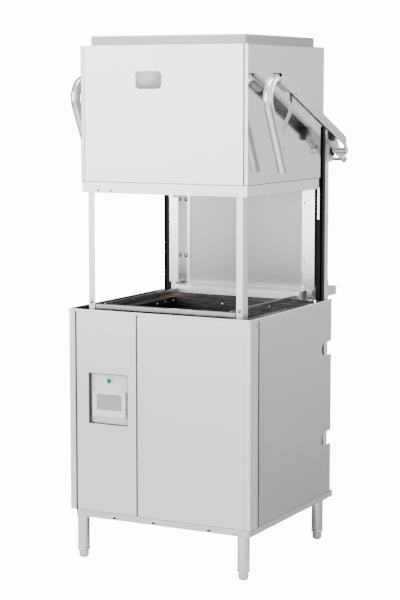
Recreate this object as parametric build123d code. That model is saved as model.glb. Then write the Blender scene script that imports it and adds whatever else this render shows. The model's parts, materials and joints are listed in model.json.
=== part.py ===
"""A pass-through hood dishwasher: base cabinet, wash tank, lifting hood and its spring-balanced levers.

Millimetres, +X to the machine's right, +Y to its back, +Z up, with the floor at Z = 0.
The model is laid out about the middle of the cabinet, and every node is moved at the end
so that the frame's origin lies on the floor under the middle of the whole machine.
"""
from build123d import *
import os
from math import atan2, asin, cos, degrees, hypot, radians, sin, tan

# ---------------------------------------------------------------- driving dimensions
TABLE_TOP = 864.0           # the rim of the tank, level with the tables beside it
HALF_WIDTH = 342.0          # cabinet skin, left and right of the middle
HALF_DEPTH = 324.5          # cabinet skin, front and back of the middle
SKIN = 2.0                  # cabinet sheet
RIM = 8.0                   # depth of the folded rim
RIM_PROUD = 2.0             # how far the rim stands out past the skin
FRAME_BOTTOM = 150.0        # underside of the base frame, on top of the legs
PANEL_BOTTOM = 172.0
PANEL_TOP = TABLE_TOP - RIM

LEG_RADIUS = 20.5
LEG_BOTTOM = 29.0
LEG_X = 306.0
LEG_FRONT_Y = -298.0
LEG_BACK_Y = 294.0
FOOT_RADIUS = 17.0

HOOD_HALF_WIDTH = 311.0
HOOD_FRONT = -288.0
HOOD_BACK = 312.0
HOOD_BOTTOM = 1290.0
HOOD_TOP = 1742.0
HOOD_SKIN = 1.5
CROWN_HALF_WIDTH = 287.5
CROWN_FRONT = -258.0
CROWN_BACK = 276.0
CROWN_TOP = 1774.0
HOOD_TRAVEL = 440.0         # how far the hood comes down
SEAM_X = 306.0              # seams on the hood's front, one near each corner

BAND_HALF_WIDTH = 309.0     # fixed header band inside the hood's mouth
BAND_FRONT = -285.8
BAND_BACK = 278.0
BAND_BOTTOM = 1254.0
BAND_TOP = 1296.0

POST_X = 290.0              # outer corner of the front posts
POST_Y = -279.0
WELL_HALF_WIDTH = 252.0     # the tank's well, inside the splash tray
WELL_FRONT = -262.0
WELL_BACK = 258.0
WELL_FLOOR = 600.0
TRAY_FLOOR = 844.0

GUIDE_X = (291.0, 317.0)    # black plastic hood guides
GUIDE_Y = (297.0, 317.0)
GUIDE_Z = (866.0 - 24.0, 1470.0)
UPRIGHT_Y = (317.0, 347.0)
UPRIGHT_TOP = 1475.0
BACK_WALL_Y = 326.0

PIVOT_Y = 360.0             # cross shaft that the lift levers swing about
PIVOT_Z = 1385.0
SHAFT_RADIUS = 10.0
LEVER_TILT = 22.5           # the levers point up to the front when the hood is up
LEVER_RISE = 26.0           # lever centreline above the pivot, square to the lever
LEVER_X = 360.0             # middle of the lever, left and right
LEVER_WIDTH = 37.0
LEVER_DEPTH = 34.0
LEVER_REAR = 15.0           # ends of the lever bar, measured forward from the pivot
LEVER_FRONT = 592.0
LEVER_SWING = 56.0          # how far the levers swing down, in degrees
GRIP_RADIUS = 16.4
GRIP_START = 515.0          # the grip tube begins inside the lever, this far from the pivot
GRIP_CORNER = 738.0         # where the lever's line meets the line of the grip's free leg
GRIP_END = (-129.0, 1333.0)     # Y and Z of the free leg's end
GRIP_BEND = 62.0
LINK_Y = -58.0              # the hood hangs on these links
LINK_ROLLER_Z = 1586.0
LINK_BOLT_Z = 1412.0
HANGER_ARM = 61.0           # spring hanger bar behind the pivot
HANGER_RADIUS = 6.0
SPRING_X = 250.0
SPRING_RADIUS = 20.0
ANCHOR_Z = 900.0            # fixed lower end of the springs

WINDOW_X = (-266.0, -114.0)     # recess for the controls
WINDOW_Z = (476.5, 649.5)
RECESS_DEPTH = 17.0
BEZEL_X = (-253.0, -126.0)
BEZEL_Z = (501.0, 590.0)
SCREEN_X = (-237.0, -140.0)
SCREEN_Z = (525.0, 580.0)
BUTTON_X = -193.0
BUTTON_Z = 623.5
BUTTON_RADIUS = 8.0

CONTROL_X = (-316.5, -82.5)     # control panel, between the corner flange and the front panel
FRONT_X = -80.0                 # left edge of the front panel
CORNER_RETURN = -268.0          # back edge of the front panel's wrap round the right corner
CUTOUTS = ((693.0, 23.0), (372.5, 23.5))    # hand holes at the back of the side panels: height, half height
CUTOUT_FRONT = 242.0

ARM_REACH = 240.0           # wash and rinse arms, from their spindle
LOWER_ARM_Z = 745.0
UPPER_ARM_Z = 1252.0
FIT = 0.05                  # radial clearance of a running fit
GAP = 0.3                   # clearance between pieces that move past each other


# ---------------------------------------------------------------- shape helpers
def block(x, y, z):
    """A box given by its (low, high) span along each axis."""
    middle = [(low + high) / 2 for low, high in (x, y, z)]
    size = [high - low for low, high in (x, y, z)]
    return Pos(*middle) * Box(*size)


def rod_x(radius, x, y, z):
    return Pos((x[0] + x[1]) / 2, y, z) * Rot(0, 90, 0) * Cylinder(radius, x[1] - x[0])


def rod_y(radius, x, y, z):
    return Pos(x, (y[0] + y[1]) / 2, z) * Rot(90, 0, 0) * Cylinder(radius, y[1] - y[0])


def rod_z(radius, x, y, z):
    return Pos(x, y, (z[0] + z[1]) / 2) * Cylinder(radius, z[1] - z[0])


def both_sides(shape):
    """The shape and its mirror image on the other side of the machine."""
    return shape + mirror(shape, about=Plane.YZ)


def swap_side(shape):
    return mirror(shape, about=Plane.YZ)


def pipe(radius, wall, bend, *points):
    """A tube along straight runs joined by round bends."""
    path = FilletPolyline(*points, radius=bend)
    section = Circle(radius) - Circle(radius - wall)
    return sweep(Plane(origin=path @ 0, z_dir=path % 0) * section, path=path)


def bar(radius, bend, *points):
    """A solid rod along straight runs joined by round bends."""
    path = FilletPolyline(*points, radius=bend)
    return sweep(Plane(origin=path @ 0, z_dir=path % 0) * Circle(radius), path=path)


NODES = {}


# ---------------------------------------------------------------- base frame, legs and feet
def base_frame():
    """A welded ring of angle iron flush under the panels, with corner plates and two cross members."""
    left, right, front, back = -331.0, 340.0, -322.0, 350.0
    flange, thick, plate = 38.0, 3.0, 66.0
    z = (FRAME_BOTTOM, PANEL_BOTTOM)
    floor = (FRAME_BOTTOM, FRAME_BOTTOM + thick)
    ring = block((-320, right), (front, front + thick), z)
    ring += block((-320, right), (front, front + flange), floor)
    ring += block((left, right), (back - thick, back), z)
    ring += block((left, right), (back - flange, back), floor)
    for outer, inward in ((left, 1), (right, -1)):
        start = front if inward < 0 else front + 22.0
        web = sorted((outer, outer + inward * thick))
        shelf = sorted((outer, outer + inward * flange))
        corner = sorted((outer, outer + inward * plate))
        ring += block(web, (start, back), z) + block(shelf, (start, back), floor)
        for y in (start, back - plate):
            ring += block(corner, (y, y + plate), (FRAME_BOTTOM, FRAME_BOTTOM + 6))
    for y in (-120.0, 180.0):
        ring += block((left, right), (y, y + flange), floor)
        ring += block((left + thick, -left), (y, y + thick), (FRAME_BOTTOM, FRAME_BOTTOM + 36))
    return ring - rail_notches(right, front, thick) + rail_tabs(right, front)


TAB_HALF = 10.0             # hooks of the lower trim: half the width of each notch in the rail
FRONT_TABS = (-173.0, -22.0, 186.0)
SIDE_TABS = (-190.0, 215.0)
FRONT_SLITS = (-80.0, 290.0, 337.0)
SIDE_SLIT = -298.0


def rail_notches(right, front, thick):
    """Notches and weld slits along the bottom rail's front and right side."""
    low = (FRAME_BOTTOM - 1, FRAME_BOTTOM + 10)
    slit = (FRAME_BOTTOM + 6, PANEL_BOTTOM - 3)
    y = (front - 1, front + thick)
    x = (right - thick, right + 1)
    cuts = [block((place - TAB_HALF, place + TAB_HALF), y, low) for place in FRONT_TABS]
    cuts += [block(x, (place - TAB_HALF, place + TAB_HALF), low) for place in SIDE_TABS]
    cuts += [block((place - 1.3, place + 1.3), y, slit) for place in FRONT_SLITS]
    cuts += [block(x, (SIDE_SLIT - 1.3, SIDE_SLIT + 1.3), slit)]
    return Compound(cuts)


def rail_tabs(right, front):
    """The lanced tab that is bent out at the left of each notch."""
    z = (FRAME_BOTTOM + 1, FRAME_BOTTOM + 10)
    tabs = [block((place - TAB_HALF, place - 2), (front - 1.5, front + 1), z) for place in FRONT_TABS]
    tabs += [block((right - 1, right + 1.5), (place - TAB_HALF, place - 2), z) for place in SIDE_TABS]
    return Compound(tabs)


STEM_RADIUS = 8.0
LEG_PLACES = {
    "front_left": (-LEG_X, LEG_FRONT_Y),
    "front_right": (LEG_X, LEG_FRONT_Y),
    "back_left": (-LEG_X, LEG_BACK_Y),
    "back_right": (LEG_X, LEG_BACK_Y),
}


def leg(x, y):
    """A tube with a closed top and a threaded insert at the bottom for the foot's stem."""
    tube = rod_z(LEG_RADIUS, x, y, (LEG_BOTTOM, FRAME_BOTTOM))
    tube -= rod_z(LEG_RADIUS - 2, x, y, (LEG_BOTTOM + 15, FRAME_BOTTOM - 3))
    return tube - rod_z(STEM_RADIUS + FIT, x, y, (LEG_BOTTOM, LEG_BOTTOM + 15))


def foot(x, y):
    """A bullet foot on a threaded stem."""
    bullet = rod_z(FOOT_RADIUS, x, y, (0, LEG_BOTTOM - GAP))
    bullet = fillet(bullet.edges().sort_by(Axis.Z)[0], 11)
    return bullet + rod_z(STEM_RADIUS, x, y, (LEG_BOTTOM - GAP, 95))


NODES["base_frame"] = base_frame()
NODES["legs"] = Compound([leg(x, y).solid() for x, y in LEG_PLACES.values()])
for corner, (x, y) in LEG_PLACES.items():
    NODES[f"foot_{corner}"] = foot(x, y)


# ---------------------------------------------------------------- cabinet skin
FACE_Y = (-HALF_DEPTH, -HALF_DEPTH + SKIN)
PANEL_Z = (PANEL_BOTTOM, PANEL_TOP)
FOLD = 12.0                 # depth of a panel's folded edge


def folded_front(x, left_fold, right_fold):
    """A front sheet with its bottom folded in, and its sides where asked."""
    sheet = block(x, FACE_Y, PANEL_Z)
    sheet += block(x, (-HALF_DEPTH, -HALF_DEPTH + 20), (PANEL_BOTTOM, PANEL_BOTTOM + SKIN))
    if left_fold:
        sheet += block((x[0], x[0] + SKIN), (-HALF_DEPTH, -HALF_DEPTH + FOLD), PANEL_Z)
    if right_fold:
        sheet += block((x[1] - SKIN, x[1]), (-HALF_DEPTH, -HALF_DEPTH + FOLD), PANEL_Z)
    return sheet


def round_corner(sheet, x):
    """Soften the sheet's upright outer corner."""
    edges = [e for e in sheet.edges().filter_by(Axis.Z)
             if abs(e.center().X - x) < 0.1 and abs(e.center().Y + HALF_DEPTH) < 0.1]
    return fillet(edges, 2.5)


def front_panel():
    sheet = folded_front((FRONT_X, HALF_WIDTH), True, False)
    sheet += block((HALF_WIDTH - SKIN, HALF_WIDTH), (-HALF_DEPTH, CORNER_RETURN), PANEL_Z)
    return round_corner(sheet, HALF_WIDTH)


def control_panel():
    sheet = folded_front(CONTROL_X, True, True)
    return sheet - block(WINDOW_X, (-HALF_DEPTH - 1, -HALF_DEPTH + SKIN + 1), WINDOW_Z)


def side_sheet(front):
    """The right-hand side sheet with its two hand holes open to the back."""
    sheet = block((HALF_WIDTH - SKIN, HALF_WIDTH), (front, HALF_DEPTH), PANEL_Z)
    sheet += block((HALF_WIDTH - 10, HALF_WIDTH), (front, HALF_DEPTH), (PANEL_BOTTOM, PANEL_BOTTOM + SKIN))
    for middle, half in CUTOUTS:
        x = (HALF_WIDTH - SKIN - 1, HALF_WIDTH + 1)
        sheet -= block(x, (CUTOUT_FRONT + half, HALF_DEPTH + 1), (middle - half, middle + half))
        sheet -= rod_x(half, x, CUTOUT_FRONT + half, middle)
    return sheet


def left_side_panel():
    sheet = swap_side(side_sheet(-HALF_DEPTH))
    flange = (-HALF_WIDTH, -318.5)
    sheet += block(flange, FACE_Y, PANEL_Z)
    sheet += block((flange[1] - SKIN, flange[1]), (-HALF_DEPTH, -HALF_DEPTH + FOLD), PANEL_Z)
    return round_corner(sheet, -HALF_WIDTH)


INLET = (-230.0, 330.0)     # X and Z of the water inlet's pipe, out of the back
INLET_RADIUS = 13.2
OUTLET = (210.0, 235.0)     # X and Z of the drain's pipe
OUTLET_RADIUS = 25.0
OUTLET_Y = (220.0, 395.0)   # the straight stub of the drain's pipe


def rear_panel():
    sheet = block((-317, 317), (UPRIGHT_Y[1], UPRIGHT_Y[1] + SKIN), (190, 700))
    sheet -= rod_y(INLET_RADIUS + 4, INLET[0], (340, 360), INLET[1])
    return sheet - rod_y(OUTLET_RADIUS + 4, OUTLET[0], (340, 360), OUTLET[1])


NODES["front_panel"] = front_panel()
NODES["control_panel"] = control_panel()
NODES["left_side_panel"] = left_side_panel()
NODES["right_side_panel"] = side_sheet(CORNER_RETURN + 2)
NODES["rear_panel"] = rear_panel()


# ---------------------------------------------------------------- controls in the front
PLATE_Y = -HALF_DEPTH + RECESS_DEPTH


def control_recess():
    """A shallow tray behind the window, with the button's collar formed in it."""
    wall = 2.0
    outer_x = (WINDOW_X[0] - wall, WINDOW_X[1] + wall)
    outer_z = (WINDOW_Z[0] - wall, WINDOW_Z[1] + wall)
    tray = block(outer_x, (FACE_Y[1], PLATE_Y + wall), outer_z)
    tray -= block(WINDOW_X, (FACE_Y[1] - 1, PLATE_Y), WINDOW_Z)
    tray += rod_y(BUTTON_RADIUS + 4, BUTTON_X, (PLATE_Y - 4, PLATE_Y), BUTTON_Z)
    return tray - rod_y(BUTTON_RADIUS + GAP, BUTTON_X, (PLATE_Y - 5, PLATE_Y + 3), BUTTON_Z)


def display_bezel():
    frame = block(BEZEL_X, (PLATE_Y - 14, PLATE_Y), BEZEL_Z)
    frame = fillet(frame.faces().sort_by(Axis.Y)[0].edges(), 3)
    return frame - block(SCREEN_X, (PLATE_Y - 15, PLATE_Y + 1), SCREEN_Z)


def power_button():
    cap = rod_y(BUTTON_RADIUS, BUTTON_X, (PLATE_Y - 8, PLATE_Y + 6), BUTTON_Z)
    return fillet(cap.edges().sort_by(Axis.Y)[0], 2)


def control_box():
    """An open tray behind the control panel, with the contactors and terminals on its back."""
    box = block((-300, -100), (-300, -200), (300, 590))
    box -= block((-298, -102), (-301, -202), (302, 588))
    for z in (320, 390, 460, 530):
        box += block((-280, -200), (-235, -202), (z, z + 50))
        box += block((-180, -130), (-222, -202), (z, z + 50))
    return box


NODES["control_recess"] = control_recess()
NODES["display_bezel"] = display_bezel()
NODES["display_screen"] = block(SCREEN_X, (PLATE_Y - 12, PLATE_Y), SCREEN_Z)
NODES["power_button"] = power_button()
NODES["control_box"] = control_box()


# ---------------------------------------------------------------- tank and what stands on it
def tank_rim():
    """The folded rim round the front and sides, with its two back corners."""
    outer_x = HALF_WIDTH + RIM_PROUD
    outer_y = HALF_DEPTH + RIM_PROUD + 1.5
    width = 6.0
    z = (PANEL_TOP, TABLE_TOP)
    rim = block((-outer_x, outer_x), (-outer_y, -outer_y + width), z)
    rim += both_sides(block((outer_x - width, outer_x), (-outer_y, outer_y), z))
    rim += both_sides(block((318, outer_x), (outer_y - width, outer_y), z))
    return rim


def wash_tank():
    """A shallow splash tray all round a deep well."""
    half = HALF_WIDTH - RIM_PROUD * 3
    front = -HALF_DEPTH + FOLD + 1.5
    wall = SKIN
    tray = block((-half, half), (front, WELL_BACK), (TRAY_FLOOR, TABLE_TOP - 2))
    tray -= block((-half + wall, half - wall), (front + wall, WELL_BACK - wall), (TRAY_FLOOR + wall, TABLE_TOP))
    tray += block((-WELL_HALF_WIDTH, WELL_HALF_WIDTH), (WELL_FRONT, WELL_BACK), (WELL_FLOOR, TRAY_FLOOR))
    tray -= block((-WELL_HALF_WIDTH + wall, WELL_HALF_WIDTH - wall), (WELL_FRONT + wall, WELL_BACK - wall),
                  (WELL_FLOOR + wall, TRAY_FLOOR + wall + 1))
    notch_x = (HOOD_HALF_WIDTH - HOOD_SKIN - 2.5, HOOD_HALF_WIDTH + 2.5)
    tray -= both_sides(block(notch_x, (WELL_BACK - wall - 1, WELL_BACK + 1), (TRAY_FLOOR + wall, TABLE_TOP)))
    for x, y, radius in ((0, 0, 16), (0, -90, 25), (150, 100, 20)):
        tray -= rod_z(radius, x, y, (WELL_FLOOR - 1, WELL_FLOOR + wall + 1))
    return tray


def rear_ledge():
    """The folded ledge between the tank's back edge and the back wall."""
    face = block((-250, 250), (248, 250), (TABLE_TOP, 892))
    top = block((-250, 250), (248, BACK_WALL_Y), (890, 892))
    deck = block((-282, 282), (WELL_BACK, BACK_WALL_Y), (PANEL_TOP, PANEL_TOP + SKIN))
    web = both_sides(block((248, 250), (248, BACK_WALL_Y), (TABLE_TOP, 892)))
    web += both_sides(block((248, 250), (WELL_BACK, BACK_WALL_Y), (PANEL_TOP, 892)))
    return face + top + deck + web


def rack_rails():
    """The track that a rack slides on: a front bar and two side rails."""
    rail = block((235, 240), (-262, 248), (878, 880)) + block((235, 237), (-262, 248), (864, 880))
    front = block((-264, 264), (-280, -262), (862, 877)) - block((-262, 262), (-278, -264), (861, 875))
    stand = block((250, 262), (-278, -264), (TRAY_FLOOR + SKIN, 875))
    return front + both_sides(rail) + both_sides(stand)


def front_post():
    z = (TRAY_FLOOR + SKIN, BAND_TOP - 2)
    angle = block((POST_X - 23, POST_X), (POST_Y, POST_Y + 2), z)
    angle += block((POST_X - 2, POST_X), (POST_Y, POST_Y + 38), z)
    return angle + block((POST_X - 23, POST_X), (POST_Y, POST_Y + 38), (z[0], z[0] + 3))


def rear_inner_post():
    """Faces the back corner of the wash space, and returns on to the back wall."""
    z = (898, BAND_TOP)
    face = block((253, 290), (287, 289), z) + block((253, 255), (287, BACK_WALL_Y), z)
    face += block((262, 282), (287, 289), (PANEL_TOP + SKIN, z[0]))
    return face + block((225, 255), (BACK_WALL_Y - 2, BACK_WALL_Y), z)


def header_band():
    """Ties the tops of the posts together; the hood comes down round it."""
    z = (BAND_BOTTOM, BAND_TOP)
    wide = BAND_HALF_WIDTH
    band = block((-wide, wide), (BAND_FRONT, BAND_BACK), z)
    band -= block((-wide + 2, wide - 2), (BAND_FRONT + 2, BAND_BACK - 2), (z[0] - 1, z[1] + 1))
    band -= block((-RISER_RADIUS - 3, RISER_RADIUS + 3), (BAND_BACK - 5, BAND_BACK + 5), (z[0] + 4, z[1] + 1))
    return band + both_sides(block((260, 280), (BAND_BACK, 287), z))


def back_wall():
    sheet = block((-282, 282), (BACK_WALL_Y, BACK_WALL_Y + SKIN), (PANEL_TOP, BAND_TOP))
    return sheet - block((-RISER_RADIUS - 3, RISER_RADIUS + 3), (320, 335), (BAND_BOTTOM, BAND_TOP + 1))


RISER_RADIUS = 16.0
NODES["tank_rim"] = tank_rim()
NODES["wash_tank"] = wash_tank()
NODES["rear_ledge"] = rear_ledge()
NODES["rack_rails"] = rack_rails()
NODES["front_posts"] = both_sides(front_post())
NODES["rear_inner_posts"] = both_sides(rear_inner_post())
NODES["header_band"] = header_band()
NODES["back_wall"] = back_wall()


# ---------------------------------------------------------------- back of the machine
SLOT_X = (HOOD_HALF_WIDTH - HOOD_SKIN - 2.2, HOOD_HALF_WIDTH + 2.2)
BRACKET_X = (317.0, 323.0)
BUSH_RADIUS = 14.0


def hood_guide():
    """A plastic post with the slot that the hood's back edge runs in."""
    slot = block(SLOT_X, (GUIDE_Y[0] - 1, HOOD_BACK + 2.5), (GUIDE_Z[0] - 1, GUIDE_Z[1] + 1))
    return block(GUIDE_X, GUIDE_Y, GUIDE_Z) - slot


def rear_upright():
    """A box section from the base frame up to the lever brackets."""
    z = (FRAME_BOTTOM + 6, UPRIGHT_TOP)
    section = block((283, 317), UPRIGHT_Y, z)
    return section - block((285, 315), (UPRIGHT_Y[0] + 2, UPRIGHT_Y[1] - 2), (z[0] - 1, z[1] - 2))


def lever_bracket():
    plate = block(BRACKET_X, (320, 365), (1345, 1425)) + rod_x(28, BRACKET_X, PIVOT_Y, PIVOT_Z)
    return plate - rod_x(BUSH_RADIUS + FIT, (310, 330), PIVOT_Y, PIVOT_Z)


def pivot_bush():
    bush = rod_x(BUSH_RADIUS, (317.3, 323), PIVOT_Y, PIVOT_Z) + rod_x(BUSH_RADIUS + 4, (323, 326), PIVOT_Y, PIVOT_Z)
    return bush - rod_x(SHAFT_RADIUS + FIT, (310, 330), PIVOT_Y, PIVOT_Z)


HANGER_Y = PIVOT_Y + HANGER_ARM
HANGER_DROP = HANGER_ARM * tan(radians(LEVER_SWING / 2))
HANGER_Z = PIVOT_Z - HANGER_DROP


def spring_anchor():
    """A bracket behind each upright that holds the spring's lower end."""
    shelf = block((228, 317), (UPRIGHT_Y[1], HANGER_Y + 12), (ANCHOR_Z - 4, ANCHOR_Z))
    shelf += block((283, 317), (UPRIGHT_Y[1], UPRIGHT_Y[1] + 4), (ANCHOR_Z - 50, ANCHOR_Z + 30))
    shelf += block((313, 317), (UPRIGHT_Y[1], HANGER_Y), (ANCHOR_Z - 30, ANCHOR_Z))
    return shelf - rod_z(5.1, SPRING_X, HANGER_Y, (ANCHOR_Z - 10, ANCHOR_Z + 10))


def eye_bolt():
    """Adjusts the spring's pull: a threaded shank with a nut below and an eye above."""
    shank = rod_z(5, SPRING_X, HANGER_Y, (ANCHOR_Z - 40, ANCHOR_Z + 20))
    nut = Pos(SPRING_X, HANGER_Y, ANCHOR_Z - 8) * extrude(RegularPolygon(9, 6), amount=4, both=True)
    eye = Pos(SPRING_X, HANGER_Y, ANCHOR_Z + 30) * Rot(90, 0, 0) * Torus(12, 4)
    return shank + nut + eye


def lift_spring():
    """The outside of a coil spring, with its two end loops' stems."""
    low = ANCHOR_Z + 47
    high = HANGER_Z - HANGER_RADIUS
    coil = rod_z(SPRING_RADIUS, SPRING_X, HANGER_Y, (low + 30, high - 30))
    coil -= rod_z(SPRING_RADIUS - 5, SPRING_X, HANGER_Y, (low, high))
    wire = SPRING_X + SPRING_RADIUS - 2.5
    return coil + rod_z(2.4, wire, HANGER_Y, (low, low + 31)) + rod_z(2.4, wire, HANGER_Y, (high - 31, high))


NODES["hood_guides"] = both_sides(hood_guide())
NODES["guide_strip"] = block((297, 304), (GUIDE_Y[0] - 1.6, GUIDE_Y[0]), (1145, 1465))
NODES["rear_uprights"] = both_sides(rear_upright())
NODES["lever_brackets"] = both_sides(lever_bracket())
NODES["pivot_bushes"] = both_sides(pivot_bush())
NODES["spring_anchors"] = both_sides(spring_anchor())
NODES["eye_bolts"] = both_sides(eye_bolt())
NODES["lift_springs"] = both_sides(lift_spring())
NODES["spring_hanger_bar"] = rod_x(HANGER_RADIUS, (-352, 352), HANGER_Y, HANGER_Z)


# ---------------------------------------------------------------- hood
def hood_front():
    """The front sheet, with a shallow seam where each side's flange laps it."""
    x = (-HOOD_HALF_WIDTH, HOOD_HALF_WIDTH)
    sheet = block(x, (HOOD_FRONT, HOOD_FRONT + HOOD_SKIN), (HOOD_BOTTOM, HOOD_TOP))
    groove = block((SEAM_X - 0.7, SEAM_X + 0.7), (HOOD_FRONT - 1, HOOD_FRONT + 0.9), (HOOD_BOTTOM - 1, HOOD_TOP + 1))
    return sheet - both_sides(groove)


def hood_side():
    x = (HOOD_HALF_WIDTH - HOOD_SKIN, HOOD_HALF_WIDTH)
    return block(x, (HOOD_FRONT + HOOD_SKIN, HOOD_BACK), (HOOD_BOTTOM, HOOD_TOP))


def hood_top():
    """A flat shoulder, notched for the guides, with a raised crown."""
    inner = HOOD_HALF_WIDTH - HOOD_SKIN
    z = (HOOD_TOP - HOOD_SKIN, HOOD_TOP)
    shoulder = block((-inner, inner), (HOOD_FRONT + HOOD_SKIN, HOOD_BACK), z)
    notch = block((GUIDE_X[0] - 2.5, inner + 1), (GUIDE_Y[0] - 4, HOOD_BACK + 1), (z[0] - 1, z[1] + 1))
    shoulder -= both_sides(notch)
    crown_y = (CROWN_FRONT, CROWN_BACK)
    shoulder += block((-CROWN_HALF_WIDTH, CROWN_HALF_WIDTH), crown_y, (HOOD_TOP, CROWN_TOP))
    hollow_x = CROWN_HALF_WIDTH - HOOD_SKIN
    hollow_y = (CROWN_FRONT + HOOD_SKIN, CROWN_BACK - HOOD_SKIN)
    return shoulder - block((-hollow_x, hollow_x), hollow_y, (z[0] - 1, CROWN_TOP - HOOD_SKIN))


def lift_link():
    """A joggled strap from the hood's side up into the lever's channel."""
    half = 10.0
    inner, outer, thick = 330.0, 351.0, 5.0
    top = LINK_ROLLER_Z + 8.5     # low enough to clear the lever's inner flange at full travel
    outline = Polyline(
        (inner, LINK_BOLT_Z - 12), (inner, 1478), (outer, 1524), (outer, top), (outer + thick, top), (outer + thick, 1523), (inner + thick, 1477),
        (inner + thick, LINK_BOLT_Z - 12), close=True)
    strap = extrude(Plane.XZ * make_face(outline), amount=half, both=True)
    strap = Pos(0, LINK_Y, 0) * strap
    ends = [e for e in strap.edges().filter_by(Axis.X)
            if e.center().Z > LINK_ROLLER_Z or e.center().Z < LINK_BOLT_Z]
    strap = fillet(ends, half - 0.1)
    spacer = rod_x(9, (HOOD_HALF_WIDTH, inner), LINK_Y, LINK_BOLT_Z)
    head = Pos(inner + thick + 3, LINK_Y, LINK_BOLT_Z) * Rot(0, 90, 0) * extrude(RegularPolygon(8, 6), amount=3, both=True)
    return strap + spacer + head


NODES["hood_front"] = hood_front()
NODES["hood_sides"] = both_sides(hood_side())
NODES["hood_top"] = hood_top()
NODES["lift_links"] = both_sides(lift_link())
NODES["link_rollers"] = both_sides(rod_x(8, (356, 370), LINK_Y, LINK_ROLLER_Z))


# ---------------------------------------------------------------- lift levers
LEVER_LOW = LEVER_RISE - LEVER_DEPTH / 2
LEVER_HIGH = LEVER_RISE + LEVER_DEPTH / 2
LEVER_INNER = LEVER_X - LEVER_WIDTH / 2
LEVER_OUTER = LEVER_X + LEVER_WIDTH / 2
EAR_X = (LEVER_INNER, LEVER_INNER + 4)
INNER_FLANGE = 13.0         # depth of the flange next to the hood; the outer one is full depth
SLOT_TILT = LEVER_SWING / 2 - LEVER_TILT


def on_lever(shape):
    """Place a shape drawn with the lever level and the pivot at (0, 0, 0)."""
    return Pos(0, PIVOT_Y, PIVOT_Z) * Rot(-LEVER_TILT, 0, 0) * shape


def lever_bar():
    """A channel open below, with a drilled plate at its rear for the shaft and the spring hanger bar."""
    along = (-LEVER_FRONT, -LEVER_REAR)
    wall = 2.0
    channel = block((LEVER_INNER, LEVER_OUTER), along, (LEVER_LOW, LEVER_HIGH))
    channel -= block((LEVER_INNER + wall, LEVER_OUTER - wall), (along[0] - 1, along[1] + 1),
                     (LEVER_LOW - 1, LEVER_HIGH - wall))
    channel -= block((LEVER_INNER - 1, LEVER_INNER + wall + 1), (along[0] - 1, along[1] + 1),
                     (LEVER_LOW - 1, LEVER_HIGH - INNER_FLANGE))
    corner = 18.0
    rounding = block((LEVER_INNER - 1, LEVER_OUTER + 1), (along[1] - corner, along[1] + 1),
                     (LEVER_HIGH - corner, LEVER_HIGH + 1))
    rounding -= rod_x(corner, (LEVER_INNER - 2, LEVER_OUTER + 2), along[1] - corner, LEVER_HIGH - corner)
    channel -= rounding
    channel += rear_plate() + rod_x(14, (LEVER_OUTER - 8, LEVER_OUTER), 0, 0)
    channel += block((LEVER_OUTER - 3, LEVER_OUTER), (-24, -6), (0, 20))
    return on_lever(channel - rod_x(SHAFT_RADIUS + FIT, (LEVER_INNER - 1, LEVER_OUTER + 1), 0, 0))


def rear_plate():
    """The inner plate: from the channel's web down to the pivot, and on as a slotted arm."""
    slot_at, arm_radius, arm_reach = 65.0, 14.0, 68.5
    outline = Polyline((-112, LEVER_HIGH - 2), (-112, LEVER_LOW + 4), (-86, -6), (-4, -14), (24, 4), (-30, LEVER_HIGH - 2),
                       close=True)
    plate = Pos(EAR_X[0], 0, 0) * extrude(Plane.YZ * make_face(outline), amount=EAR_X[1] - EAR_X[0])
    arm = block(EAR_X, (0, arm_reach), (-arm_radius, arm_radius)) + rod_x(arm_radius, EAR_X, arm_reach, 0)
    through = (EAR_X[0] - 1, EAR_X[1] + 1)
    arm -= block(through, (slot_at - 4, slot_at + 4), (-7.5, 7.5))
    for reach in (slot_at - 4, slot_at + 4):
        arm -= rod_x(7.5, through, reach, 0)
    plate += Rot(-SLOT_TILT, 0, 0) * arm + rod_x(19, EAR_X, 0, 0)
    for reach in (26, 45, 64):
        plate -= rod_x(4.2, through, -reach, 0.08 * reach)
    return plate


def lever_point(along, rise):
    """Where a point on the lever is in the machine, at rest."""
    tilt = radians(LEVER_TILT)
    y = PIVOT_Y - along * cos(tilt) + rise * sin(tilt)
    return (LEVER_X, y, PIVOT_Z + along * sin(tilt) + rise * cos(tilt))


def grip():
    """A bent tube: in along the lever's channel, over a bend, and down to a closed end."""
    in_channel = LEVER_HIGH - 2.0 - GRIP_RADIUS
    points = [lever_point(GRIP_START, in_channel), lever_point(GRIP_CORNER, in_channel), (LEVER_X, *GRIP_END)]
    path = FilletPolyline(*points, radius=GRIP_BEND)
    start = Plane(origin=path @ 0, z_dir=path % 0)
    return sweep(start * Circle(GRIP_RADIUS), path=path)


def bolt_head(radius, height):
    rounding = min(1.5, 0.6 * height)
    return fillet(Cylinder(radius, height).edges().sort_by(Axis.Z)[-1], rounding)


NODES["lever_bars"] = both_sides(lever_bar())
NODES["lever_grips"] = both_sides(grip())
NODES["cross_shaft"] = rod_x(SHAFT_RADIUS, (-LEVER_OUTER, LEVER_OUTER), PIVOT_Y, PIVOT_Z)
NODES["lever_bumpers"] = both_sides(on_lever(block((357, 375.5), (-126, -104), (-4, LEVER_HIGH - 2))))
NODES["stop_bolts"] = both_sides(on_lever(Pos(LEVER_OUTER + 3, -466, LEVER_RISE) * Rot(0, 90, 0) * bolt_head(6.5, 6)))


# ---------------------------------------------------------------- water and wash gear
SPINDLE = 12.0
RINSE_SPINDLE = 8.0


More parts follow.
